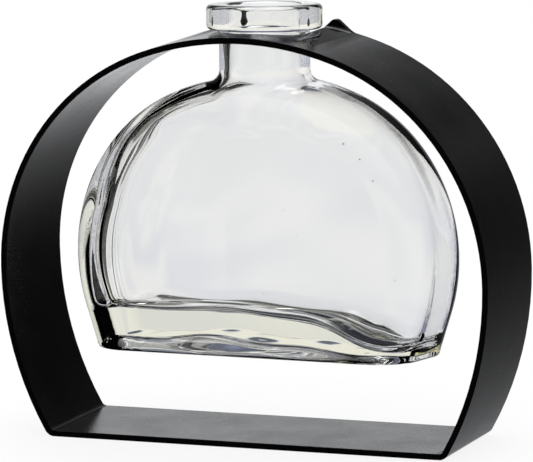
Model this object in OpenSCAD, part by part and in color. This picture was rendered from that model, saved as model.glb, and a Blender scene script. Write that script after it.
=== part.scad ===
// Hanging glass vase with stand.
// A flat flask of clear glass hangs by its lip in a slot at the top of an arch of rolled steel strip.
// The origin is the middle of the underside of the base, +X to the right, +Y to the back, +Z up.

/* [Stand] */
// Width of the arch at its widest
arch_w = 178; // [170:1:210]
// Height of the arch from the table to its crest
arch_h = 141; // [130:0.5:160]
// Width of the steel strip, which is the depth of the stand
strip_w = 45.5; // [42:0.5:60]
// Thickness of the steel strip
strip_t = 2.1; // [1.5:0.1:3]
// Outer radius of the bend that turns each foot in under the arch
foot_bend_r = 4; // [3.2:0.1:6]
// Distance from the widest place of the arch in to where a bent foot lies flat
foot_inset = 18.5; // [14:0.5:26]

/* [Slot and ears] */
// Gap between the neck and each side of the slot
neck_gap = 0.5; // [0.4:0.1:1.5]
// Distance from the middle of the strip back to the axis of the neck
neck_back = 4.4; // [2:0.1:4.8]
// Distance from the side of the slot to the tip of the ear beside it
ear_reach = 3.5; // [3:0.1:5]
// Rise of each ear above the strip
ear_rise = 3.3; // [2:0.1:5]
// Radius of the rounded tip of an ear
ear_tip_r = 2.2; // [1.5:0.1:3]
// Radius of the hollow curve by which an ear runs out into the back edge of the strip
ear_foot_r = 8; // [4:0.5:12]

/* [Glass body] */
// Width of the glass body
body_w = 137; // [120:1:142]
// Height of the glass body from its foot to the root of the neck
body_h = 95; // [84:0.5:97]
// Thickness of the glass body from front to back
body_t = 40; // [36:0.5:50]
// Radius of the rounded edge that runs round the body
edge_r = 13; // [8:0.5:17]
// Radius of the crown, the shallow arc under the neck
crown_r = 84; // [76:1:110]
// Radius of the shoulder and side, the long arc on either hand
shoulder_r = 60; // [52:1:64]
// Angle by which the lower sides draw in to the foot
side_taper = 18.5; // [10:0.5:22]
// Thickness of the glass wall
wall_t = 3.2; // [2:0.1:5]
// Least thickness of the glass under the water
floor_t = 5; // [4:0.5:10]
// Rise of the slug of glass on the floor above its thin part
slug_rise = 7.3; // [3:0.1:12]
// Height of the hollow under the foot
punt_h = 1.4; // [0.5:0.1:3]
// Width of the rim that the foot stands on
foot_rim = 5; // [3:0.5:10]

/* [Neck and lip] */
// Outer diameter of the neck
neck_d = 31.2; // [28:0.1:34]
// Diameter of the bore
bore_d = 24.7; // [20:0.1:26]
// Length of the neck between the body and the lip
neck_h = 15.8; // [14:0.1:24]
// Height of the lip
lip_h = 8.7; // [5:0.1:12]
// Width of lip that bears on the strip on either side of the slot
lip_bearing = 3.8; // [2.6:0.1:5]
// Radius of the lip's rounded edges
lip_round = 1.8; // [0.5:0.1:2.2]
// Radius of the fillet where the neck grows out of the body
root_r = 3; // [1:0.5:4]

/* [How it hangs] */
// Gap between the lip and the strip where the lip rests
seat_gap = 0.2; // [0.1:0.05:0.5]
// Angle by which the foot of the vase swings to the front
hang_tilt = 3.5; // [0:0.1:4]
// Angle by which the foot of the vase swings to the right
hang_lean = 0.7; // [0:0.1:1.5]
// Angle by which the vase is turned in its slot
hang_turn = 6; // [0:1:20]

/* [Hidden] */
$fn = 128;
// Every cut runs past the faces that it opens by this much
overrun = 1;

// Outline of the arch: crown and shoulder arcs, as shares of half its width
arch_crown_share = 1.185;
arch_shoulder_share = 0.907;
arch_crown_r = arch_crown_share * arch_w / 2;
arch_shoulder_r = arch_shoulder_share * arch_w / 2;
// Heading at which the crown arc hands over, so that the sides come out at the full width
crown_end = asin((arch_w / 2 - arch_shoulder_r) / (arch_crown_r - arch_shoulder_r));
crown_c = [0, arch_h - arch_crown_r];
shoulder_c = crown_c + (arch_crown_r - arch_shoulder_r) * heading(crown_end);
// The side arc starts at the widest place and meets the bend of the foot, which is tangent to the table
foot_c = [arch_w / 2 - foot_inset, foot_bend_r];
shoulder_end = 90;
side_drop = shoulder_c[1] - foot_bend_r;
arch_side_r = (foot_inset * foot_inset + side_drop * side_drop - foot_bend_r * foot_bend_r)
    / (2 * (foot_inset - foot_bend_r));
side_c = [arch_w / 2 - arch_side_r, shoulder_c[1]];
side_end = shoulder_end + asin(side_drop / (arch_side_r - foot_bend_r));
// Heading at which the bent foot lies flat on the table
flat_heading = 180;
// Angle between neighbouring points on the long arcs, and on the tight bend of the foot
arc_step = 3;
bend_step = 9;

// Slot and ears
slot_w = neck_d + 2 * neck_gap;
slot_edge_z = arch_h - arc_drop(arch_crown_r, slot_w / 2);
// Slope of an ear's flanks, and the middle of its tip's arc
ear_slope = 42;
ear_x = slot_w / 2 + ear_reach;
ear_tip_c = [ear_x, arch_h - arc_drop(arch_crown_r, ear_x) + ear_rise - ear_tip_r];
// Inside of the bend under an ear, and how deep the ends of its fillets are sunk in the strip
ear_bend_r = 1.6;
ear_sink = 0.15;

// Outline of the glass body, from the foot up
body_crown_c = [0, body_h - crown_r];
// Heading at which the crown hands over to the shoulder, so that the body has its full width
body_crown_end = asin((body_w / 2 - shoulder_r) / (crown_r - shoulder_r));
body_shoulder_c = body_crown_c + (crown_r - shoulder_r) * heading(body_crown_end);
body_side_end = 90 + side_taper;
// Half thickness of the flat between the rounded edges of the front and the back
flat_y = body_t / 2 - edge_r;
// Angle between neighbouring points on the body's arcs, and steps round a quarter of its edge
body_step = 4;
edge_steps = 6;
// Half the width of the foot, and the corner of the hollow under it
foot_half = body_half(0, 0)[len(body_half(0, 0)) - 1][0];
punt_r = edge_r - foot_rim;
// The slug on the floor, from the left: shares of half the body's width, and of the slug's rise
slug_shares = [[-0.56, 0.55], [-0.46, 0.85], [-0.34, 0.98], [-0.2, 1], [-0.05, 0.96], [0.1, 0.86],
    [0.22, 0.7], [0.33, 0.46], [0.43, 0.22], [0.53, 0]];

// Neck and lip
neck_r = neck_d / 2;
lip_z = body_h + neck_h;
lip_r = slot_w / 2 + lip_bearing;
// Directions about the neck at which its edge is drawn, steps along its fillet, and the fillet's depth
// in the body where it ends
neck_turns = 72;
root_steps = 4;
root_sink = 0.15;

// Height at which the lip's underside hangs, with its lowest edge over the side of the slot
bearing_r = lip_r - lip_round;
seat_reach = side_of(bearing_r, slot_w / 2);
seat_z = slot_edge_z + tan(hang_tilt) * seat_reach + tan(hang_lean) * slot_w / 2 + seat_gap;

// Height of the floor over the foot, at one point of the slug
function floor_z(share) = floor_t + share[1] * slug_rise;

// Direction at an angle from straight up, turning to the right, as x and z
function heading(a) = [sin(a), cos(a)];
// Fall of an arc of radius r at a distance x from its top
function arc_drop(r, x) = r - side_of(r, x);
// Third side of a right-angled triangle
function side_of(hypotenuse, side) = sqrt(hypotenuse * hypotenuse - side * side);

// Points along an arc between two headings, without the first
function arc_points(centre, r, from, to, step) =
    let (count = ceil(abs(to - from) / abs(step)))
    [for (i = [1:count]) centre + r * heading(from + (to - from) * i / count)];

// The same points in the other order, and the same points on the left in that order
function backwards(points) = [for (i = [len(points) - 1:-1:0]) points[i]];
function mirrored(points) = [for (point = backwards(points)) [-point[0], point[1]]];

// Right half of the arch's outline, drawn in by an inset, from beside the crest to the foot
function arch_half(inset) = concat(
    arc_points(crown_c, arch_crown_r - inset, 0, crown_end, arc_step),
    arc_points(shoulder_c, arch_shoulder_r - inset, crown_end, shoulder_end, arc_step),
    arc_points(side_c, arch_side_r - inset, shoulder_end, side_end, arc_step),
    arc_points(foot_c, foot_bend_r - inset, side_end, flat_heading, bend_step)
);

// The whole outline of the arch, from the left foot over the crest to the right foot
function arch_line(inset) = concat(mirrored(arch_half(inset)), [[0, arch_h - inset]], arch_half(inset));

// Right half of the glass body's outline, drawn in by an inset, from beside the crown to the foot
function body_half(inset, foot_z) =
    let (side_top = body_shoulder_c + (shoulder_r - inset) * heading(body_side_end))
    concat(
        arc_points(body_crown_c, crown_r - inset, 0, body_crown_end, body_step),
        arc_points(body_shoulder_c, shoulder_r - inset, body_crown_end, body_side_end, body_step),
        [[side_top[0] - (side_top[1] - foot_z) * tan(side_taper), foot_z]]
    );

// The whole outline of the glass body, from the left of its foot over the crown to the right,
// and back along the points of its floor, which lie between the heights of its two feet
function body_line(inset, left_z, right_z, floor_points) = concat(
    mirrored(body_half(inset, left_z)), [[0, body_h - inset]], body_half(inset, right_z), floor_points);

// The outline at one step of the rounded edge, on the front (-1) or the back (1) side of the flat:
// the angle is -90 on the front face and 90 on the back face
function body_ring(inset, left_z, right_z, floor_points, angle, side) =
    let (round_r = edge_r - inset)
    [for (point = body_line(inset + round_r * (1 - cos(angle)), left_z, right_z, floor_points))
        [point[0], side * flat_y + round_r * sin(angle), point[1]]];

// Edge of the neck in one direction about its axis, down from the lip: its fillet is the arc of a ball
// that rests against the neck and is sunk a little in the body, so that the fillet ends inside the glass
function neck_edge(turn) =
    let (
        x = (neck_r + root_r) * cos(turn),
        y = (neck_r + root_r) * sin(turn),
        beyond = max(abs(y) - flat_y, 0) * sign(y),
        rise = side_of(edge_r + root_r, beyond),
        reach = crown_r - edge_r + rise,
        height = side_of(reach, x),
        ball = [x, y, body_crown_c[1] + height - root_sink],
        to_neck = -[cos(turn), sin(turn), 0],
        to_body = -[rise / reach * x, beyond, rise / reach * height] / (edge_r + root_r),
        wrap = acos(to_neck * to_body)
    )
    concat(
        [[neck_r * cos(turn), neck_r * sin(turn), lip_z + lip_round]],
        [for (i = [0:root_steps])
            let (a = wrap * i / root_steps)
            ball + root_r * (sin(wrap - a) * to_neck + sin(a) * to_body) / sin(wrap)]
    );

// Both hands of a piece that is drawn on the right
module both_sides() {
    children();
    mirror([1, 0, 0])
        children();
}

// U-shaped slot for the neck, open to the back
module neck_slot() {
    translate([0, neck_back, arch_h / 2])
        linear_extrude(arch_h) {
            circle(d = slot_w);
            translate([-slot_w / 2, 0])
                square([slot_w, strip_w]);
        }
}

// Outline of an ear from the front, down to the underside of the strip: on the outer hand a flank and
// the hollow curve by which it runs out into the strip, on the inner hand a flank down to the slot
function ear_line() =
    let (
        out = heading(ear_slope),
        down = heading(ear_slope + 90),
        start = ear_tip_c + (ear_tip_r + ear_foot_r) * out - crown_c,
        reach = arch_crown_r + ear_foot_r - ear_sink,
        fall = -start * down - sqrt(pow(start * down, 2) - start * start + reach * reach),
        centre = start + fall * down,
        lean = atan2(centre[0], centre[1]),
        run_out = arc_points(crown_c + centre, ear_foot_r, ear_slope + 180, lean + 180, bend_step),
        root_z = arch_h - arc_drop(arch_crown_r, ear_x) - strip_t,
        flank = (ear_tip_c[1] + ear_tip_r * out[1] - root_z) / out[0]
    )
    concat(
        arc_points(ear_tip_c, ear_tip_r, -ear_slope, ear_slope, bend_step),
        [crown_c + centre - ear_foot_r * out],
        run_out,
        [[run_out[len(run_out) - 1][0], root_z], [ear_x - ear_tip_r * out[0] - flank * out[1], root_z]]
    );

// Ear bent up from the back corner of the slot, which keeps the lip from sliding off
module ear() {
    intersection() {
        translate([0, strip_w / 2, 0])
            rotate([90, 0, 0])
                linear_extrude(strip_t + ear_bend_r)
                    polygon(ear_line());
        translate([0, 0, crown_c[1]])
            rotate([-90, 0, 0])
                rotate_extrude()
                    ear_profile();
    }
}

// The ear in section, as a ring about the middle of the crown: it stands at the back edge of the strip
// and has the fillet that its bend leaves in the corner
module ear_profile() {
    difference() {
        translate([arch_crown_r - strip_t, strip_w / 2 - strip_t - ear_bend_r])
            square([2 * (strip_t + ear_rise), strip_t + ear_bend_r]);
        translate([arch_crown_r - ear_sink + ear_bend_r, strip_w / 2 - strip_t - ear_bend_r])
            circle(r = ear_bend_r);
        translate([arch_crown_r - ear_sink + ear_bend_r, strip_w / 2 - strip_t - 2 * ear_bend_r])
            square([2 * (strip_t + ear_rise), 2 * ear_bend_r]);
    }
}

// Rolled steel strip: the arch, its two bent feet, the slot and the ears
module arch_band() {
    color([0.06, 0.06, 0.065])
        difference() {
            union() {
                translate([0, strip_w / 2, 0])
                    rotate([90, 0, 0])
                        linear_extrude(strip_w)
                            polygon(concat(arch_line(0), backwards(arch_line(strip_t))));
                both_sides()
                    ear();
            }
            neck_slot();
        }
}

// Flat strip that is welded in between the two bent feet
module base_plate() {
    color([0.07, 0.07, 0.075])
        translate([-foot_c[0], -strip_w / 2, 0])
            cube([2 * foot_c[0], strip_w, strip_t]);
}

// The glass body's form, drawn in by an inset all round and closed below by its floor:
// the outline is stepped round the rounded edge, from the front face to the back face
module body_form(inset, left_z, right_z, floor_points) {
    quarter = [for (i = [0:edge_steps]) 90 * i / edge_steps];
    rings = concat(
        [for (angle = quarter) body_ring(inset, left_z, right_z, floor_points, angle - 90, -1)],
        [for (angle = quarter) body_ring(inset, left_z, right_z, floor_points, angle, 1)]
    );
    count = len(rings[0]);
    last = len(rings) - 1;
    polyhedron(
        points = [for (ring = rings) each ring],
        faces = concat(
            [[for (i = [0:count - 1]) i]],
            [[for (i = [count - 1:-1:0]) last * count + i]],
            [for (j = [0:last - 1], i = [0:count - 1])
                let (next = (i + 1) % count)
                [j * count + next, j * count + i, (j + 1) * count + i, (j + 1) * count + next]]
        )
    );
}

// The room for water: the body's form inside the wall, over the slug of glass on its floor
module hollow() {
    body_form(wall_t, floor_z(slug_shares[0]), floor_z(slug_shares[len(slug_shares) - 1]),
        backwards([for (share = slug_shares) [share[0] * body_w / 2, floor_z(share)]]));
}

// Shallow hollow under the foot, inside the rim that it stands on
module punt() {
    punt_w = 2 * (foot_half - foot_rim - punt_r);
    punt_t = 2 * (body_t / 2 - foot_rim - punt_r);
    translate([0, 0, -overrun])
        linear_extrude(overrun + punt_h) {
            square([punt_w, punt_t + 2 * punt_r], center = true);
            square([punt_w + 2 * punt_r, punt_t], center = true);
            for (x = [-1, 1], y = [-1, 1])
                translate([x * punt_w / 2, y * punt_t / 2])
                    circle(r = punt_r);
        }
}

// Neck and the fillet at its root, a skirt of glass that a ball would leave by rolling round the neck
module neck() {
    edges = [for (i = [0:neck_turns - 1]) neck_edge(360 * i / neck_turns)];
    count = len(edges[0]);
    foot = count * neck_turns;
    polyhedron(
        points = concat([for (edge = edges) each edge], [[0, 0, body_h - edge_r]]),
        faces = concat(
            [[for (i = [neck_turns - 1:-1:0]) i * count]],
            [for (i = [0:neck_turns - 1])
                let (here = i * count, next = (i + 1) % neck_turns * count)
                each concat(
                    [[here + count - 1, next + count - 1, foot]],
                    [[here, next, next + 1, here + 1]],
                    [for (j = [1:count - 2]) each [
                        [here + j, next + j, here + j + 1],
                        [next + j, next + j + 1, here + j + 1]
                    ]]
                )
            ]
        )
    );
}

// Lip with rounded edges, above the neck
module lip() {
    rotate_extrude() {
        translate([0, lip_z])
            square([lip_r - lip_round, lip_h]);
        translate([0, lip_z + lip_round])
            square([lip_r, lip_h - 2 * lip_round]);
        for (edge_z = [lip_z + lip_round, lip_z + lip_h - lip_round])
            translate([lip_r - lip_round, edge_z])
                circle(r = lip_round);
    }
}

// The vase in one piece of glass, standing on its foot at the origin
module vase_upright() {
    difference() {
        union() {
            body_form(0, 0, 0, []);
            neck();
            lip();
        }
        hollow();
        punt();
        translate([0, 0, body_h - edge_r])
            cylinder(h = edge_r + neck_h + lip_h + overrun, d = bore_d);
    }
}

// The vase hung by its lip, turned and tilted as it comes to rest in the slot
module glass_vase() {
    color([0.82, 0.86, 0.86, 0.45])
        translate([0, neck_back, seat_z])
            rotate([-hang_tilt, 0, 0])
                rotate([0, -hang_lean, 0])
                    rotate([0, 0, -hang_turn])
                        translate([0, 0, -lip_z])
                            vase_upright();
}

arch_band();
base_plate();
glass_vase();
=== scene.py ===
import math

import bmesh
import bpy
import numpy as np
from mathutils import Matrix, Vector


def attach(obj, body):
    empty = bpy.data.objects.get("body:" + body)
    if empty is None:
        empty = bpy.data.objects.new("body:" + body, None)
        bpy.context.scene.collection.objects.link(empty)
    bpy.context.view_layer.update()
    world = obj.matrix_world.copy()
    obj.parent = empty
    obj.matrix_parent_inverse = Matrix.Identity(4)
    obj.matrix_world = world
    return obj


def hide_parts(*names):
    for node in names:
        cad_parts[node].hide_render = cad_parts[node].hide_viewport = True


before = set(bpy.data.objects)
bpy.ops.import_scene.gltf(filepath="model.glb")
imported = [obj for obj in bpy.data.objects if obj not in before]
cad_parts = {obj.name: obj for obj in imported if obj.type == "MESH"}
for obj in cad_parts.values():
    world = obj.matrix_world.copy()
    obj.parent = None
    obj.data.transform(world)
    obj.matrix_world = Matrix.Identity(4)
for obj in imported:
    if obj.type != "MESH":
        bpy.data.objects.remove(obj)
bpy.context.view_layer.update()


# BASE PLATE
# The flat foot of the stand: 2 mm steel strip, welded in edge to edge between the two bent feet of
# the arch and powder-coated black together with it, so its edges are softly rounded by the coat.

COAT_EDGE, COAT_EDGE_STEPS = 0.0004, 3
SHARP_ANGLE = math.radians(35)
WELD_GAP = 0.000002
COAT_BLACK = (0.002, 0.002, 0.0021, 1)
COAT_IOR, COAT_ROUGHNESS = 1.45, 0.2
SPECK_SCALE, PEEL_SCALE, CLOUD_SCALE = 1500.0, 420.0, 55.0
SPECK_DEPTH, PEEL_DEPTH = 0.00002, 0.00006
SPECK_SPREAD, SPECK_GLOSS = (0.35, 0.65), 0.05
CLOUD_SPREAD, CLOUD_GLOSS, CLOUD_MATT = (0.3, 0.7), 0.03, 0.04
BASE_PEEL = 0.5


def add_node(tree, kind, **inputs):
    """A new node with inputs set by name, where an underscore stands for a space."""
    node = tree.nodes.new(kind)
    for name, value in inputs.items():
        node.inputs[name.replace("_", " ")].default_value = value
    return node


def math_node(tree, operation, *values):
    """A math node whose inputs are sockets or numbers, and what it gives."""
    node = tree.nodes.new("ShaderNodeMath")
    node.operation = operation
    for i, value in enumerate(values):
        if isinstance(value, bpy.types.NodeSocket):
            tree.links.new(value, node.inputs[i])
        else:
            node.inputs[i].default_value = value
    return node.outputs[0]


def powder_coat(name, peel):
    """Semi-matt black powder coat: a fine orange peel, and gloss that differs in clouds and specks."""
    material = bpy.data.materials.new(name)
    material.use_nodes = True
    tree = material.node_tree
    shader = tree.nodes["Principled BSDF"]
    shader.inputs["Base Color"].default_value = COAT_BLACK
    shader.inputs["IOR"].default_value = COAT_IOR
    place = tree.nodes.new("ShaderNodeTexCoord").outputs["Object"]
    specks = add_node(tree, "ShaderNodeTexNoise", Scale=SPECK_SCALE, Detail=3.0, Roughness=0.6)
    wave = add_node(tree, "ShaderNodeTexNoise", Scale=PEEL_SCALE, Detail=2.0, Roughness=0.5)
    cloud = add_node(tree, "ShaderNodeTexNoise", Scale=CLOUD_SCALE, Detail=2.0, Roughness=0.5)
    for noise in (specks, wave, cloud):
        tree.links.new(place, noise.inputs["Vector"])
    in_clouds = add_node(tree, "ShaderNodeMapRange", From_Min=CLOUD_SPREAD[0], From_Max=CLOUD_SPREAD[1],
                         To_Min=COAT_ROUGHNESS - CLOUD_GLOSS, To_Max=COAT_ROUGHNESS + CLOUD_MATT)
    in_specks = add_node(tree, "ShaderNodeMapRange", From_Min=SPECK_SPREAD[0], From_Max=SPECK_SPREAD[1],
                         To_Min=-SPECK_GLOSS, To_Max=SPECK_GLOSS)
    tree.links.new(cloud.outputs["Fac"], in_clouds.inputs["Value"])
    tree.links.new(specks.outputs["Fac"], in_specks.inputs["Value"])
    rough = math_node(tree, "ADD", in_clouds.outputs["Result"], in_specks.outputs["Result"])
    tree.links.new(rough, shader.inputs["Roughness"])
    fine = add_node(tree, "ShaderNodeBump", Strength=peel, Distance=SPECK_DEPTH)
    coarse = add_node(tree, "ShaderNodeBump", Strength=peel, Distance=PEEL_DEPTH)
    tree.links.new(specks.outputs["Fac"], fine.inputs["Height"])
    tree.links.new(wave.outputs["Fac"], coarse.inputs["Height"])
    tree.links.new(fine.outputs["Normal"], coarse.inputs["Normal"])
    tree.links.new(coarse.outputs["Normal"], shader.inputs["Normal"])
    return material


def coat_piece(piece, material, shading=None):
    """Gives a CAD node its powder coat, with its sheared edges rounded by the coat."""
    piece.data.materials.clear()
    piece.data.materials.append(material)
    weld = piece.modifiers.new("weld", "WELD")
    weld.merge_threshold = WELD_GAP
    if shading:
        shade = piece.modifiers.new("smooth", "NODES")
        shade.node_group = shading
    bevel = piece.modifiers.new("rounded edges", "BEVEL")
    bevel.width = COAT_EDGE
    bevel.segments = COAT_EDGE_STEPS
    bevel.limit_method = "ANGLE"
    bevel.angle_limit = SHARP_ANGLE
    bevel.harden_normals = True


coat_piece(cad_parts["base_plate"], powder_coat("base_plate_coat", BASE_PEEL))


# ARCH BAND
# The rolled steel strip: a low horseshoe arch with its feet bent in under it, a slot for the neck
# that is open to the back, and two ears bent up there. Cut, rolled, bent and powder-coated black.

ARCH_PEEL = 0.4


def smooth_shading():
    """A node group that shades the rolled arcs smooth and keeps the strip's own corners sharp."""
    group = bpy.data.node_groups.new("smooth_shading", "GeometryNodeTree")
    group.interface.new_socket("Geometry", in_out="INPUT", socket_type="NodeSocketGeometry")
    group.interface.new_socket("Geometry", in_out="OUTPUT", socket_type="NodeSocketGeometry")
    start = group.nodes.new("NodeGroupInput")
    shade = group.nodes.new("GeometryNodeSetShadeSmooth")
    angle = group.nodes.new("GeometryNodeInputMeshEdgeAngle")
    corner = group.nodes.new("FunctionNodeCompare")
    corner.operation = "GREATER_THAN"
    corner.inputs["B"].default_value = SHARP_ANGLE
    keep = group.nodes.new("GeometryNodeSetShadeSmooth")
    keep.domain = "EDGE"
    keep.inputs["Shade Smooth"].default_value = False
    end = group.nodes.new("NodeGroupOutput")
    group.links.new(start.outputs[0], shade.inputs["Geometry"])
    group.links.new(angle.outputs["Unsigned Angle"], corner.inputs["A"])
    group.links.new(corner.outputs["Result"], keep.inputs["Selection"])
    group.links.new(shade.outputs[0], keep.inputs["Geometry"])
    group.links.new(keep.outputs[0], end.inputs[0])
    return group


coat_piece(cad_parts["arch_band"], powder_coat("arch_band_coat", ARCH_PEEL), smooth_shading())


# GLASS VASE
# One moulded flask of thick clear glass: flat front and back inside a rounded edge, a short neck, a
# heavy lip, a hollow with an uneven slug of glass on its floor, and a shallow punt under the foot.

MM = 0.001
BODY_W, BODY_H, BODY_T = 137.0, 95.0, 40.0
EDGE_R, CROWN_R, SHOULDER_R = 13.0, 84.0, 60.0
SIDE_TAPER = math.radians(18.5)
NECK_R, BORE_R, ROOT_R, INNER_ROOT_R = 15.6, 12.35, 3.0, 7.0

CROWN_END = math.asin((BODY_W / 2 - SHOULDER_R) / (CROWN_R - SHOULDER_R))
CROWN_C = (0.0, BODY_H - CROWN_R)
SHOULDER_C = ((CROWN_R - SHOULDER_R) * math.sin(CROWN_END),
              CROWN_C[1] + (CROWN_R - SHOULDER_R) * math.cos(CROWN_END))
SIDE_END = math.pi / 2 + SIDE_TAPER


def outline_gap(x, z):
    """Distance from the flask's front outline, negative inside: crown arc, shoulder arc, straight side."""
    x = np.abs(x)
    sx, sz = x - SHOULDER_C[0], z - SHOULDER_C[1]
    heading = np.arctan2(sx, sz)
    crown = np.hypot(x, z - CROWN_C[1]) - CROWN_R
    shoulder = np.hypot(sx, sz) - SHOULDER_R
    side = sx * math.sin(SIDE_END) + sz * math.cos(SIDE_END) - SHOULDER_R
    return np.where(heading < CROWN_END, crown, np.where(heading > SIDE_END, side, shoulder))


def flask_gap(x, y, z, side_wall, face_wall, edge_r):
    """Distance from the flask's form, set in by a wall at the sides and at the faces."""
    across = outline_gap(x, z) + side_wall + edge_r
    deep = np.abs(y) - (BODY_T / 2 - face_wall - edge_r)
    return (np.hypot(np.maximum(across, 0), np.maximum(deep, 0))
            + np.minimum(np.maximum(across, deep), 0) - edge_r)


def round_join(a, b, r):
    """Two forms joined with a fillet of radius r in the corner between them."""
    return np.maximum(r, np.minimum(a, b)) - np.hypot(np.maximum(r - a, 0), np.maximum(r - b, 0))


def round_cut(a, b, r):
    """What two forms share, with its edge rounded by radius r."""
    return np.minimum(-r, np.maximum(a, b)) + np.hypot(np.maximum(r + a, 0), np.maximum(r + b, 0))


def outer_gap(x, y, z):
    """Distance from the outside: the body and the neck, with a fillet at the neck's root."""
    neck = np.maximum(np.hypot(x, y) - NECK_R, BODY_H - EDGE_R - z)
    return round_join(flask_gap(x, y, z, 0, 0, EDGE_R), neck, ROOT_R)


# The slug: glass that ran to the floor, thick on the left, as shares of its rise along the half width
FLOOR_T, SLUG_RISE, FLOOR_FILLET = 5.0, 9.6, 4.0
SLUG_SHARES = [(-0.84, 0.85), (-0.72, 1), (-0.5, 1.04), (-0.2, 1), (0.05, 0.95), (0.25, 0.88),
               (0.36, 0.78), (0.46, 0.58), (0.54, 0.35), (0.62, 0.12), (0.7, 0)]
SLUG_STEPS, SLUG_WINDOW = 401, 31


def smooth_slug():
    """The slug's shares, evened out along the width."""
    shares = np.array(SLUG_SHARES)
    xs = np.linspace(-1, 1, SLUG_STEPS)
    rough = np.interp(xs, shares[:, 0], shares[:, 1])
    kernel = np.hanning(SLUG_WINDOW)
    padded = np.pad(rough, SLUG_WINDOW // 2, mode="edge")
    return xs, np.convolve(padded, kernel / kernel.sum(), mode="valid")


SLUG_XS, SLUG_RISES = smooth_slug()


def slug_share(x):
    """The slug's rise at a place along the width, as a share of its full rise."""
    return np.interp(x / (BODY_W / 2), SLUG_XS, SLUG_RISES)


# The hollow: its wall, its shift to the right, and an edge whose radius changes from side to side
# and from low to high
FACE_WALL, SIDE_WALL, HOLLOW_SHIFT = 3.2, 3.8, 2.2
LEFT_EDGE_R, LEFT_CROWN_R, RIGHT_EDGE_R, RIGHT_CROWN_R = 15.5, 6.0, 9.5, 13.0
EDGE_CHANGE_Z, EDGE_CHANGE_H, EDGE_CHANGE_HALF_W = 50.0, 30.0, 30.0

# Waves of the inner skin: how deep they are, over what lengths they run and where they start
SKIN_TOP, SKIN_FADE = 7.0, 12.0
SWELL, SWELL_LENGTHS, SWELL_STARTS, CROSS_SWELL = 0.16, (11.0, 13.0, 23.0, 17.0), (0.6, 1.1), 0.6
RIPPLE, RIPPLE_LENGTHS, RIPPLE_START = 0.2, (3.1, 19.0, 15.0), 0.4
RIDGE, RIDGE_LENGTHS, RIDGE_START, FINE_RIDGE = 1.1, (4.2, 27.0, 1.3, 19.0), 0.8, 0.5
RIDGES_FROM, RIDGES_GROW = 6.0, 26.0
SLUG_LEAN = 0.015
SLUG_RIPPLES = [(0.4, 21.0, 2.9), (0.35, 6.5, -5.0)]


def skin_wave(x, y, z):
    """The uneven inner skin that blowing into a mould leaves, fading out up the neck."""
    fade = np.clip((BODY_H - SKIN_TOP - z) / SKIN_FADE, 0, 1)
    swell_x, swell_z, cross_x, cross_z = SWELL_LENGTHS
    swell = (np.sin(x / swell_x + SWELL_STARTS[0]) * np.sin(z / swell_z + SWELL_STARTS[1])
             + CROSS_SWELL * np.sin(x / cross_x - z / cross_z))
    ripple_y, ripple_x, ripple_z = RIPPLE_LENGTHS
    ripple = np.sin(y / ripple_y + x / ripple_x) * np.sin(z / ripple_z + RIPPLE_START)
    ridge_y, ridge_z, fine_y, fine_z = RIDGE_LENGTHS
    ridge = np.sin(y / ridge_y + z / ridge_z + RIDGE_START) + FINE_RIDGE * np.sin(y / fine_y - z / fine_z)
    left = np.clip((-x - RIDGES_FROM) / RIDGES_GROW, 0, 1)
    return fade * (SWELL * swell + RIPPLE * ripple + RIDGE * left * ridge)


def slug_top(x, y):
    """Height of the glass under the water, with its lean to the back and its ripples."""
    ripples = sum(deep * np.sin(x / along + y / across) for deep, along, across in SLUG_RIPPLES)
    return FLOOR_T + SLUG_RISE * slug_share(x) + SLUG_LEAN * y + ripples


def hollow_gap(x, y, z):
    """Distance from the hollow: the room inside the wall, over the slug, and the bore above it."""
    bore = np.maximum(np.hypot(x, y) - BORE_R, BODY_H - EDGE_R - z)
    rise = np.clip((z - EDGE_CHANGE_Z) / EDGE_CHANGE_H, 0, 1)
    across = np.clip((x + EDGE_CHANGE_HALF_W) / (2 * EDGE_CHANGE_HALF_W), 0, 1)
    left_r = LEFT_EDGE_R + (LEFT_CROWN_R - LEFT_EDGE_R) * rise
    right_r = RIGHT_EDGE_R + (RIGHT_CROWN_R - RIGHT_EDGE_R) * rise
    edge_r = left_r + (right_r - left_r) * across
    room = flask_gap(x - HOLLOW_SHIFT, y, z, SIDE_WALL, FACE_WALL, edge_r) + skin_wave(x, y, z)
    return round_join(round_cut(room, slug_top(x, y) - z, FLOOR_FILLET), bore, INNER_ROOT_R)


# The skin is laid out in rings round the neck's axis, found along rays from a point on that axis
TURNS, TURN_SAMPLES, TURN_EVENNESS = 320, 4001, 0.35
FOCUS_Z, FULL_REACH, HALVINGS = 45.0, 125.0, 34
RAY_SAMPLES, BEND_WINDOW = 900, 17


def halve(inside, near, far):
    """Closes in on where a form ends between a distance inside it and one outside."""
    for _ in range(HALVINGS):
        middle = (near + far) / 2
        within = inside(middle)
        near, far = np.where(within, middle, near), np.where(within, far, middle)
    return near, far


def ray_reach(gap, turn, rise):
    """Where rays from the middle of the flask leave a form."""
    dx, dy, dz = np.cos(turn) * np.cos(rise), np.sin(turn) * np.cos(rise), np.sin(rise)
    near, far = halve(lambda reach: gap(reach * dx, reach * dy, FOCUS_Z + reach * dz) < 0,
                      np.zeros(dx.shape), np.full(dx.shape, FULL_REACH))
    return (near + far) / 2


def even_turns():
    """Directions about the neck's axis, spaced evenly along the flask's waist."""
    dense = np.linspace(0, 2 * math.pi, TURN_SAMPLES)
    reach = ray_reach(outer_gap, dense, 0 * dense)
    x, y = reach * np.cos(dense), reach * np.sin(dense)
    step = np.hypot(np.diff(x), np.diff(y)) + TURN_EVENNESS * NECK_R * np.diff(dense)
    along = np.concatenate([[0], np.cumsum(step)])
    return np.interp(np.arange(TURNS) / TURNS * along[-1], along, dense)


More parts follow.
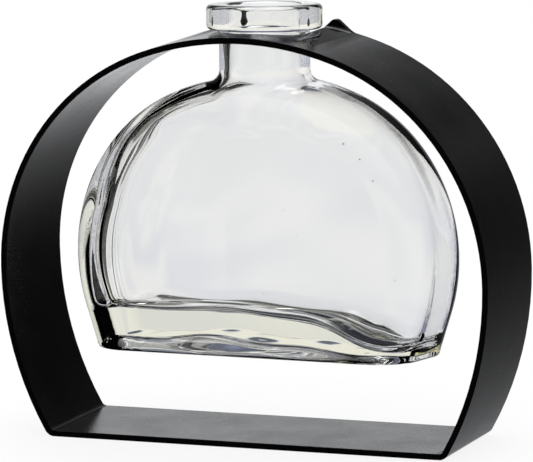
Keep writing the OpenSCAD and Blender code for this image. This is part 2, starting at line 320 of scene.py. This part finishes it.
def sections(gap, around, low, high, count, bend_weight):
    """A form's edge in the half-plane of each turn, between two rays, spaced by length and closer
    together where it bends: rings of points from low to high."""
    share = np.linspace(0, 1, RAY_SAMPLES)[:, None]
    rises = low + (high - low) * share
    reach = ray_reach(gap, around[None, :] + 0 * share, rises)
    r, z = reach * np.cos(rises), FOCUS_Z + reach * np.sin(rises)
    dr, dz = np.diff(r, axis=0), np.diff(z, axis=0)
    bend = np.abs(np.gradient(np.unwrap(np.arctan2(dz, dr), axis=0), axis=0))
    half = BEND_WINDOW // 2
    total = np.cumsum(np.pad(bend, ((half + 1, half), (0, 0)), mode="edge"), axis=0)
    bend = (total[BEND_WINDOW:] - total[:-BEND_WINDOW]) / BEND_WINDOW
    along = np.concatenate([0 * r[:1], np.cumsum(np.hypot(dr, dz) + bend_weight * bend, axis=0)])
    rings = np.zeros((count, len(around), 3))
    for k, turn in enumerate(around):
        at = np.linspace(0, along[-1, k], count)
        flat = np.interp(at, along[:, k], r[:, k])
        rings[:, k] = np.stack([flat * math.cos(turn), flat * math.sin(turn),
                                np.interp(at, along[:, k], z[:, k])], axis=1)
    return rings


def level_ring(around, r, z):
    """A ring of points at one height."""
    return np.stack([r * np.cos(around), r * np.sin(around), z + 0 * around], axis=1)


# The lip: a heavy collar with rounded edges, a small hollow curve under it and a rounded mouth
LIP_Z, LIP_TOP, LIP_R, LIP_ROUND, LIP_FLAT = 110.8, 119.5, 19.9, 1.8, 3.2
THROAT_R, SEAT_W, RIM_R, MOUTH_R = 0.9, 1.0, 15.5, 1.6
THROAT_STEPS, ROUND_STEPS, MOUTH_STEPS = 6, 9, 8
NECK_RINGS, BORE_RINGS = (107.0, 108.6), (114.0, 110.0, 106.0, 102.0)


def arc(r0, z0, radius, start, end, count):
    """Points of an arc in a half-plane, as radius from the axis and height."""
    return [(r0 + radius * math.cos(a), z0 + radius * math.sin(a))
            for a in np.linspace(math.radians(start), math.radians(end), count)]


def lip_section():
    """From the neck out under the lip, over its rounded edges and down into the bore."""
    round_c = LIP_R - LIP_ROUND
    points = [(NECK_R, z) for z in NECK_RINGS]
    points += arc(NECK_R + THROAT_R, LIP_Z - THROAT_R, THROAT_R, 180, 90, THROAT_STEPS)
    points += [(round_c - SEAT_W, LIP_Z)]
    points += arc(round_c, LIP_Z + LIP_ROUND, LIP_ROUND, -90, 0, ROUND_STEPS)
    points += [(LIP_R, LIP_Z + LIP_FLAT), (LIP_R, LIP_TOP - LIP_FLAT)]
    points += arc(round_c, LIP_TOP - LIP_ROUND, LIP_ROUND, 0, 90, ROUND_STEPS)
    points += [(RIM_R, LIP_TOP)]
    points += arc(BORE_R + MOUTH_R, LIP_TOP - MOUTH_R, MOUTH_R, 90, 180, MOUTH_STEPS)
    return points + [(BORE_R, z) for z in BORE_RINGS]


# The foot: a rippled punt that rises under the slug, inside the rim that the vase would stand on
FOOT_ROUND, FOOT_REACH = 1.8, 80.0
PUNT_H, PUNT_RIM, PUNT_SLOPE, PUNT_SLUG = 3.4, 4.5, 3.0, 0.6
PUNT_RIPPLES, PUNT_RIPPLE_LENGTHS, PUNT_RIPPLE_STARTS = (0.2, 0.12), (14.0, 6.0, 5.0), (2.4, 0.7)
FOOT_SHARES = [0.15, 0.3, 0.45, 0.55, 0.62, 0.68, 0.73, 0.77, 0.81, 0.84, 0.87, 0.9, 0.925, 0.95, 0.967]
FOOT_ROUND_ANGLES = np.radians([0, 22.5, 45, 67.5])


def punt_height(x, y):
    """Height of the underside over the rim."""
    inward = -flask_gap(x, y, 0 * x, 0, 0, EDGE_R)
    rise = np.clip((inward - PUNT_RIM + PUNT_SLOPE / 2) / PUNT_SLOPE, 0, 1)
    long_x, short_x, short_y = PUNT_RIPPLE_LENGTHS
    ripple = (1 + PUNT_RIPPLES[0] * np.sin(x / long_x + PUNT_RIPPLE_STARTS[0])
              + PUNT_RIPPLES[1] * np.sin(x / short_x + PUNT_RIPPLE_STARTS[1]) * np.cos(y / short_y))
    return PUNT_H * (1 + PUNT_SLUG * slug_share(x)) * ripple * rise * rise * (3 - 2 * rise)


def foot_rings(around):
    """The underside from its middle out, and the rise of the first ray that clears it."""
    across, along = np.cos(around), np.sin(around)
    corner, _ = halve(lambda reach: flask_gap(reach * across, reach * along, FOOT_ROUND, 0, 0, EDGE_R) < 0,
                      np.zeros(len(around)), np.full(len(around), FOOT_REACH))
    rings = []
    for share in FOOT_SHARES:
        x, y = corner * share * across, corner * share * along
        rings.append(np.stack([x, y, punt_height(x, y)], axis=1))
    for angle in FOOT_ROUND_ANGLES:
        rings.append(level_ring(around, corner - FOOT_ROUND * (1 - math.sin(angle)),
                                FOOT_ROUND * (1 - math.cos(angle))))
    return rings, np.arctan2(FOOT_ROUND - FOCUS_Z, corner)


OUTER_RINGS, OUTER_BEND, OUTER_TOP_Z = 118, 9.0, 105.0
INNER_RINGS, INNER_BEND, INNER_TOP_Z, INNER_START = 128, 7.0, 100.0, 0.02


def glass_rings():
    """The flask's skin as rings of points, from the middle of its foot out, up, in and down again."""
    around = even_turns()
    rings, low = foot_rings(around)
    high = math.atan2(OUTER_TOP_Z - FOCUS_Z, NECK_R)
    rings += list(sections(outer_gap, around, low, high, OUTER_RINGS, OUTER_BEND))
    rings += [level_ring(around, r, z) for r, z in lip_section()]
    low, high = np.full(TURNS, INNER_START - math.pi / 2), math.atan2(INNER_TOP_Z - FOCUS_Z, BORE_R)
    rings += list(sections(hollow_gap, around, low, high, INNER_RINGS, INNER_BEND)[::-1])
    return rings


def skin_mesh(name, rings, first, last):
    """A closed mesh from rings of points and the two points at its ends."""
    count = len(rings[0])
    points = np.concatenate([[first], *rings, [last]])
    faces = [(0, 1 + (i + 1) % count, 1 + i) for i in range(count)]
    for j in range(len(rings) - 1):
        a, b = 1 + j * count, 1 + (j + 1) * count
        faces += [(a + i, a + (i + 1) % count, b + (i + 1) % count, b + i) for i in range(count)]
    end, a = len(points) - 1, 1 + (len(rings) - 1) * count
    faces += [(end, a + i, a + (i + 1) % count) for i in range(count)]
    mesh = bpy.data.meshes.new(name)
    mesh.from_pydata(points.tolist(), [], faces)
    mesh.shade_smooth()
    mesh.update()
    return mesh


# Seeds, small air bubbles that the melt left in the front wall: across, up and radius
SEEDS = [(16.7, 50.8, 0.2), (8.8, 22.2, 0.16), (3.3, 47.9, 0.16), (21.9, 42.9, 0.2), (39.0, 74.0, 0.3),
         (45.0, 69.0, 0.26), (50.0, 62.0, 0.26), (58.0, 29.0, 0.2)]


def add_seeds(mesh):
    """Puts each seed in the middle of the front wall, as a small sphere of air."""
    skin = bmesh.new()
    skin.from_mesh(mesh)
    for x, z, r in SEEDS:
        y, _ = halve(lambda deep: flask_gap(x, deep, z, 0, 0, EDGE_R) >= -FACE_WALL / 2, -BODY_T / 2, 0.0)
        ball = bmesh.ops.create_icosphere(skin, subdivisions=2, radius=r,
                                          matrix=Matrix.Translation((x, float(y), z)))
        faces = {face for vertex in ball["verts"] for face in vertex.link_faces}
        for face in faces:
            face.smooth = True
        bmesh.ops.reverse_faces(skin, faces=list(faces))
    skin.to_mesh(mesh)
    skin.free()


GLASS_IOR = 1.52
GLASS_TINT, TINT_DENSITY = (0.8, 0.785, 0.56, 1), 16.0
SURFACE_SCALE, SURFACE_STRENGTH, SURFACE_DEPTH = 38.0, 0.25, 0.0004


def clear_glass():
    """Thick clear soda-lime glass with a faint olive tint in depth and a slightly wavy skin."""
    material = bpy.data.materials.new("clear_glass")
    material.use_nodes = True
    tree = material.node_tree
    shader = tree.nodes["Principled BSDF"]
    shader.inputs["Base Color"].default_value = (1, 1, 1, 1)
    shader.inputs["Roughness"].default_value = 0.0
    shader.inputs["IOR"].default_value = GLASS_IOR
    shader.inputs["Transmission Weight"].default_value = 1.0
    place = tree.nodes.new("ShaderNodeTexCoord").outputs["Object"]
    swell = add_node(tree, "ShaderNodeTexNoise", Scale=SURFACE_SCALE, Detail=1.0, Roughness=0.4)
    tree.links.new(place, swell.inputs["Vector"])
    bump = add_node(tree, "ShaderNodeBump", Strength=SURFACE_STRENGTH, Distance=SURFACE_DEPTH)
    tree.links.new(swell.outputs["Fac"], bump.inputs["Height"])
    tree.links.new(bump.outputs["Normal"], shader.inputs["Normal"])
    depth = tree.nodes.new("ShaderNodeVolumeAbsorption")
    depth.inputs["Color"].default_value = GLASS_TINT
    depth.inputs["Density"].default_value = TINT_DENSITY
    tree.links.new(depth.outputs["Volume"], tree.nodes["Material Output"].inputs["Volume"])
    return material


# How the flask hangs: its foot to the front, a little down on one side and turned, on the slot's edges
HANG_TILT, HANG_LEAN, HANG_TURN = math.radians(3.5), math.radians(0.7), math.radians(6)
NECK_BACK, SEAT_Z = 4.4, 140.6665

rings = glass_rings()
punt_point = [0, 0, float(rings[0][:, 2].mean())]
floor_point = [0, 0, float(FLOOR_T + SLUG_RISE * slug_share(0.0))]
glass_mesh = skin_mesh("flask_glass", rings, punt_point, floor_point)
add_seeds(glass_mesh)
hang = (Matrix.Translation((0, NECK_BACK, SEAT_Z)) @ Matrix.Rotation(-HANG_TILT, 4, "X")
        @ Matrix.Rotation(-HANG_LEAN, 4, "Y") @ Matrix.Rotation(-HANG_TURN, 4, "Z")
        @ Matrix.Translation((0, 0, -LIP_Z)))
glass_mesh.transform(Matrix.Scale(MM, 4) @ hang)
glass_mesh.materials.append(clear_glass())
flask = bpy.data.objects.new("flask_glass", glass_mesh)
bpy.context.scene.collection.objects.link(flask)
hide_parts("glass_vase")
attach(flask, "vase")


# TABLE
# A plain white table, which the camera sees as even white. Through the glass it carries painted shade,
# soft grey patches that fade out far behind, and in what the glass throws back from inside a painted
# reflection, lilac streaks behind the object and dark in front of it. Once a ray was reflected, its
# paper is lit as grey, a painted shade. It keeps a faint shadow of the object.

BACK_WAY, SIDE_WAY = Vector((-0.377, 0.926, 0)), Vector((0.926, 0.377, 0))
TABLE_HALF, TABLE_DROP = 3.0, 0.0002
PAPER_ROUGHNESS, PAPER_SHINE = 0.9, 0.1
WHITE = (1, 1, 1, 1)
# The paper's white, and its grey, which is painted shade for rays that were reflected
PAPER_WHITE, PAINTED_SHADE_PAPER = (0.88, 0.88, 0.88, 1), (0.3, 0.3, 0.3, 1)
# Painted shade through the glass: soft grey patches on the white, and a whiter far back
PAINTED_SHADE_GREY, SOFT_WHITE, FAR_WHITE = (0.86, 0.875, 0.93, 1), (0.98, 0.985, 1, 1), (0.965, 0.98, 1, 1)
# Painted reflection in the glass: lilac streaks behind the object, dark in front of it
LILAC, PALE_LILAC, PAINTED_REFLECTION_DARK = (0.22, 0.24, 0.36, 1), (0.95, 0.96, 1, 1), (0.05, 0.052, 0.03, 1)
MOTTLE_ACROSS, MOTTLE_BACK, STREAK_SCALE = 10.0, 3.0, 6.0
MOTTLE_SPREAD, STREAK_SPREAD = (0.4, 0.62), (0.38, 0.6)
FAR_START, FAR_END, FAR_MOST = 0.35, 0.75, 0.65
FRONT_END, BACK_START = -0.3, 0.05
SHADOW_IN, SHADOW_OUT, SHADOW_GLOW = 0.07, 0.12, 0.88
ANY_GLOSS, TWO_FACES = 0.5, 2.5


def share_along(tree, socket, way):
    """How far a place or direction lies along a way."""
    node = tree.nodes.new("ShaderNodeVectorMath")
    node.operation = "DOT_PRODUCT"
    tree.links.new(socket, node.inputs[0])
    node.inputs[1].default_value = way
    return node.outputs["Value"]


def range_node(tree, socket, low, high, at_low, at_high):
    """Maps one range of a value smoothly to another."""
    node = add_node(tree, "ShaderNodeMapRange", From_Min=low, From_Max=high, To_Min=at_low, To_Max=at_high)
    node.interpolation_type = "SMOOTHSTEP"
    tree.links.new(socket, node.inputs["Value"])
    return node.outputs["Result"]


def blend_node(tree, factor, first, second):
    """A mix of two colours, each a colour or a socket, and what it gives."""
    node = tree.nodes.new("ShaderNodeMix")
    node.data_type = "RGBA"
    tree.links.new(factor, node.inputs["Factor"])
    for name, value in (("A", first), ("B", second)):
        if isinstance(value, bpy.types.NodeSocket):
            tree.links.new(value, node.inputs[name])
        else:
            node.inputs[name].default_value = value
    return node.outputs["Result"]


def table_paper():
    """White paper that glows for the camera and, with painted shade and a painted reflection, through
    the glass, and is lit paper otherwise, whose grey after a reflection is painted shade.
    """
    material = bpy.data.materials.new("white_table")
    material.use_nodes = True
    tree = material.node_tree
    matt = tree.nodes["Principled BSDF"]
    matt.inputs["Roughness"].default_value = PAPER_ROUGHNESS
    matt.inputs["Specular IOR Level"].default_value = PAPER_SHINE
    path = tree.nodes.new("ShaderNodeLightPath")
    place = tree.nodes.new("ShaderNodeTexCoord").outputs["Object"]
    back = share_along(tree, place, BACK_WAY)
    stretched = tree.nodes.new("ShaderNodeCombineXYZ")
    aside = share_along(tree, place, SIDE_WAY)
    tree.links.new(math_node(tree, "MULTIPLY", aside, MOTTLE_ACROSS), stretched.inputs["X"])
    tree.links.new(math_node(tree, "MULTIPLY", back, MOTTLE_BACK), stretched.inputs["Y"])
    mottle = add_node(tree, "ShaderNodeTexNoise", Scale=1.0, Detail=1.0, Roughness=0.4)
    streak = add_node(tree, "ShaderNodeTexNoise", Scale=STREAK_SCALE, Detail=2.0, Roughness=0.6)
    for noise in (mottle, streak):
        tree.links.new(stretched.outputs["Vector"], noise.inputs["Vector"])
    no_gloss = math_node(tree, "LESS_THAN", path.outputs["Glossy Depth"], ANY_GLOSS)
    few_faces = math_node(tree, "LESS_THAN", path.outputs["Transmission Depth"], TWO_FACES)

    # Painted shade seen through the glass: soft grey patches on the white, fading out far behind
    painted_shade_patches = range_node(tree, mottle.outputs["Fac"], *MOTTLE_SPREAD, 0.0, 1.0)
    white_with_painted_shade = blend_node(tree, painted_shade_patches, PAINTED_SHADE_GREY, SOFT_WHITE)
    far = range_node(tree, back, FAR_START, FAR_END, 0.0, FAR_MOST)
    white_with_painted_shade = blend_node(tree, far, white_with_painted_shade, FAR_WHITE)
    # Painted reflection in what the glass throws back from inside: lilac streaks behind, dark in front
    streaks = range_node(tree, streak.outputs["Fac"], *STREAK_SPREAD, 0.0, 1.0)
    lilac_streaks_painted = blend_node(tree, streaks, LILAC, PALE_LILAC)
    behind = range_node(tree, back, FRONT_END, BACK_START, 0.0, 1.0)
    painted_reflection = blend_node(tree, behind, PAINTED_REFLECTION_DARK, lilac_streaks_painted)
    through_glass = blend_node(tree, no_gloss, painted_reflection, white_with_painted_shade)
    glow = add_node(tree, "ShaderNodeEmission", Strength=1.0)
    tree.links.new(blend_node(tree, path.outputs["Is Transmission Ray"], WHITE, through_glass),
                   glow.inputs["Color"])
    # Painted shade: once a ray was reflected, the paper is lit as grey instead of white
    tree.links.new(blend_node(tree, no_gloss, PAINTED_SHADE_PAPER, PAPER_WHITE), matt.inputs["Base Color"])

    clear_way = math_node(tree, "MAXIMUM", no_gloss, few_faces)
    through = math_node(tree, "MULTIPLY", path.outputs["Is Transmission Ray"], clear_way)
    seen = math_node(tree, "MAXIMUM", path.outputs["Is Camera Ray"], through)
    distance = tree.nodes.new("ShaderNodeVectorMath")
    distance.operation = "LENGTH"
    tree.links.new(place, distance.inputs[0])
    out_of_shadow = add_node(tree, "ShaderNodeMapRange", From_Min=SHADOW_IN, From_Max=SHADOW_OUT,
                             To_Min=SHADOW_GLOW, To_Max=1.0)
    tree.links.new(distance.outputs["Value"], out_of_shadow.inputs["Value"])
    mix = tree.nodes.new("ShaderNodeMixShader")
    tree.links.new(math_node(tree, "MULTIPLY", seen, out_of_shadow.outputs["Result"]), mix.inputs["Fac"])
    tree.links.new(matt.outputs["BSDF"], mix.inputs[1])
    tree.links.new(glow.outputs["Emission"], mix.inputs[2])
    tree.links.new(mix.outputs["Shader"], tree.nodes["Material Output"].inputs["Surface"])
    return material


table_mesh = bpy.data.meshes.new("table")
table_mesh.from_pydata([(x * TABLE_HALF, y * TABLE_HALF, -TABLE_DROP)
                        for x, y in ((-1, -1), (1, -1), (1, 1), (-1, 1))], [], [(0, 1, 2, 3)])
table_mesh.materials.append(table_paper())
table = bpy.data.objects.new("table", table_mesh)
bpy.context.scene.collection.objects.link(table)
table.visible_glossy = False


# LIGHT
# A pale backdrop behind the object, which falls off to both sides and upwards, a soft light from the
# roof and a softbox overhead. The camera sees plain white. Through the glass it is white straight on
# and dark overhead, and what the glass throws back from inside finds it dark in front as well.

BACKDROP = [(0.0, 1.0), (0.1, 1.0), (0.16, 0.86), (0.244, 0.6), (0.36, 0.4), (0.434, 0.25), (0.51, 0.22),
            (0.57, 0.13), (0.64, 0.075), (0.69, 0.015), (0.73, 0.0)]
GLASS_SIGHT = [(0.0, (0.04, 0.042, 0.03)), (0.2, (0.05, 0.052, 0.04)), (0.4, (0.25, 0.28, 0.42)),
               (0.55, (0.8, 0.84, 0.95)), (0.7, (1, 1, 1))]
BACKDROP_START, BACKDROP_FULL = -0.05, 0.4
BACKDROP_TOP, BACKDROP_OVER, OVER_LEVEL = 0.24, 0.3, 0.23
ROOF_START, ROOF_LOW = 0.3, 0.02
SIGHT_OVER, SIGHT_OVER_LEVEL = 0.4, 0.3
COOL_WHITE = (0.96, 0.975, 1, 1)
SOFTBOX_SIZE, SOFTBOX_ENERGY, SOFTBOX_AT = 0.6, 4.0, (0.0, 0.15, 0.85)


def ramp_node(tree, socket, stops):
    """A colour ramp over a value, from pairs of place and colour."""
    node = tree.nodes.new("ShaderNodeValToRGB")
    while len(node.color_ramp.elements) < len(stops):
        node.color_ramp.elements.new(0.5)
    for element, (at, colour) in zip(node.color_ramp.elements, stops):
        element.position = at
        element.color = (*colour, 1)
    tree.links.new(socket, node.inputs["Fac"])
    return node.outputs["Color"]


def studio_world():
    """The light around the object, by direction, as the steel, the glass and the camera find it."""
    world = bpy.data.worlds.new("studio")
    world.use_nodes = True
    tree = world.node_tree
    way = tree.nodes.new("ShaderNodeTexCoord").outputs["Generated"]
    path = tree.nodes.new("ShaderNodeLightPath")
    height = share_along(tree, way, (0, 0, 1))
    back = share_along(tree, way, BACK_WAY)
    aside = math_node(tree, "ABSOLUTE", share_along(tree, way, SIDE_WAY))

    falloff = ramp_node(tree, aside, [(at, (level,) * 3) for at, level in BACKDROP])
    behind = range_node(tree, back, BACKDROP_START, BACKDROP_FULL, 0.0, 1.0)
    under_top = range_node(tree, height, BACKDROP_TOP, BACKDROP_OVER, 1.0, OVER_LEVEL)
    backdrop = math_node(tree, "MULTIPLY", math_node(tree, "MULTIPLY", falloff, behind), under_top)
    roof = range_node(tree, height, ROOF_START, 1.0, ROOF_LOW, 1.0)
    around = tree.nodes["Background"]
    around.inputs["Color"].default_value = COOL_WHITE
    tree.links.new(math_node(tree, "MAXIMUM", backdrop, roof), around.inputs["Strength"])

    low_down = range_node(tree, height, BACKDROP_TOP, SIGHT_OVER, 1.0, SIGHT_OVER_LEVEL)
    turned = math_node(tree, "MULTIPLY", range_node(tree, back, -1.0, 1.0, 0.0, 1.0), low_down)
    no_gloss = math_node(tree, "LESS_THAN", path.outputs["Glossy Depth"], ANY_GLOSS)
    sight = math_node(tree, "MAXIMUM", turned, math_node(tree, "MULTIPLY", no_gloss, low_down))
    through_glass = add_node(tree, "ShaderNodeBackground", Strength=1.0)
    tree.links.new(ramp_node(tree, sight, GLASS_SIGHT), through_glass.inputs["Color"])

    white = add_node(tree, "ShaderNodeBackground", Color=WHITE, Strength=1.0)
    glass_or_steel = tree.nodes.new("ShaderNodeMixShader")
    tree.links.new(path.outputs["Is Transmission Ray"], glass_or_steel.inputs["Fac"])
    tree.links.new(around.outputs["Background"], glass_or_steel.inputs[1])
    tree.links.new(through_glass.outputs["Background"], glass_or_steel.inputs[2])
    mix = tree.nodes.new("ShaderNodeMixShader")
    tree.links.new(path.outputs["Is Camera Ray"], mix.inputs["Fac"])
    tree.links.new(glass_or_steel.outputs["Shader"], mix.inputs[1])
    tree.links.new(white.outputs["Background"], mix.inputs[2])
    tree.links.new(mix.outputs["Shader"], tree.nodes["World Output"].inputs["Surface"])
    return world


bpy.context.scene.world = studio_world()
softbox_light = bpy.data.lights.new("softbox", "AREA")
softbox_light.shape = "SQUARE"
softbox_light.size = SOFTBOX_SIZE
softbox_light.energy = SOFTBOX_ENERGY
softbox = bpy.data.objects.new("softbox", softbox_light)
softbox.location = SOFTBOX_AT
bpy.context.scene.collection.objects.link(softbox)


# CAMERA
# The photograph's viewpoint, found from the arch's edges and the base's corners: to the right of the
# front, a little above the object and far off, with a long lens.

CAMERA_AT = Vector((0.6413, -1.5953, 0.3598))
YAW, PITCH, ROLL = 0.3817, -0.1662, 0.0208
FOCAL_PIXELS, FRAME_PIXELS, SENSOR_W, CLIP_END = 5087.2, 533, 36.0, 20.0

turn = Matrix.Rotation(YAW, 3, "Z") @ Matrix.Rotation(PITCH, 3, "X") @ Matrix.Rotation(ROLL, 3, "Y")
right, ahead, up = turn @ Vector((1, 0, 0)), turn @ Vector((0, 1, 0)), turn @ Vector((0, 0, 1))
lens = bpy.data.cameras.new("camera")
lens.sensor_fit = "HORIZONTAL"
lens.sensor_width = SENSOR_W
lens.lens = FOCAL_PIXELS / FRAME_PIXELS * SENSOR_W
lens.clip_end = CLIP_END
camera = bpy.data.objects.new("camera", lens)
camera.matrix_world = Matrix((
    (right.x, up.x, -ahead.x, CAMERA_AT.x),
    (right.y, up.y, -ahead.y, CAMERA_AT.y),
    (right.z, up.z, -ahead.z, CAMERA_AT.z),
    (0, 0, 0, 1)))
bpy.context.scene.collection.objects.link(camera)
bpy.context.scene.camera = camera
bpy.context.scene.view_settings.view_transform = "Standard"
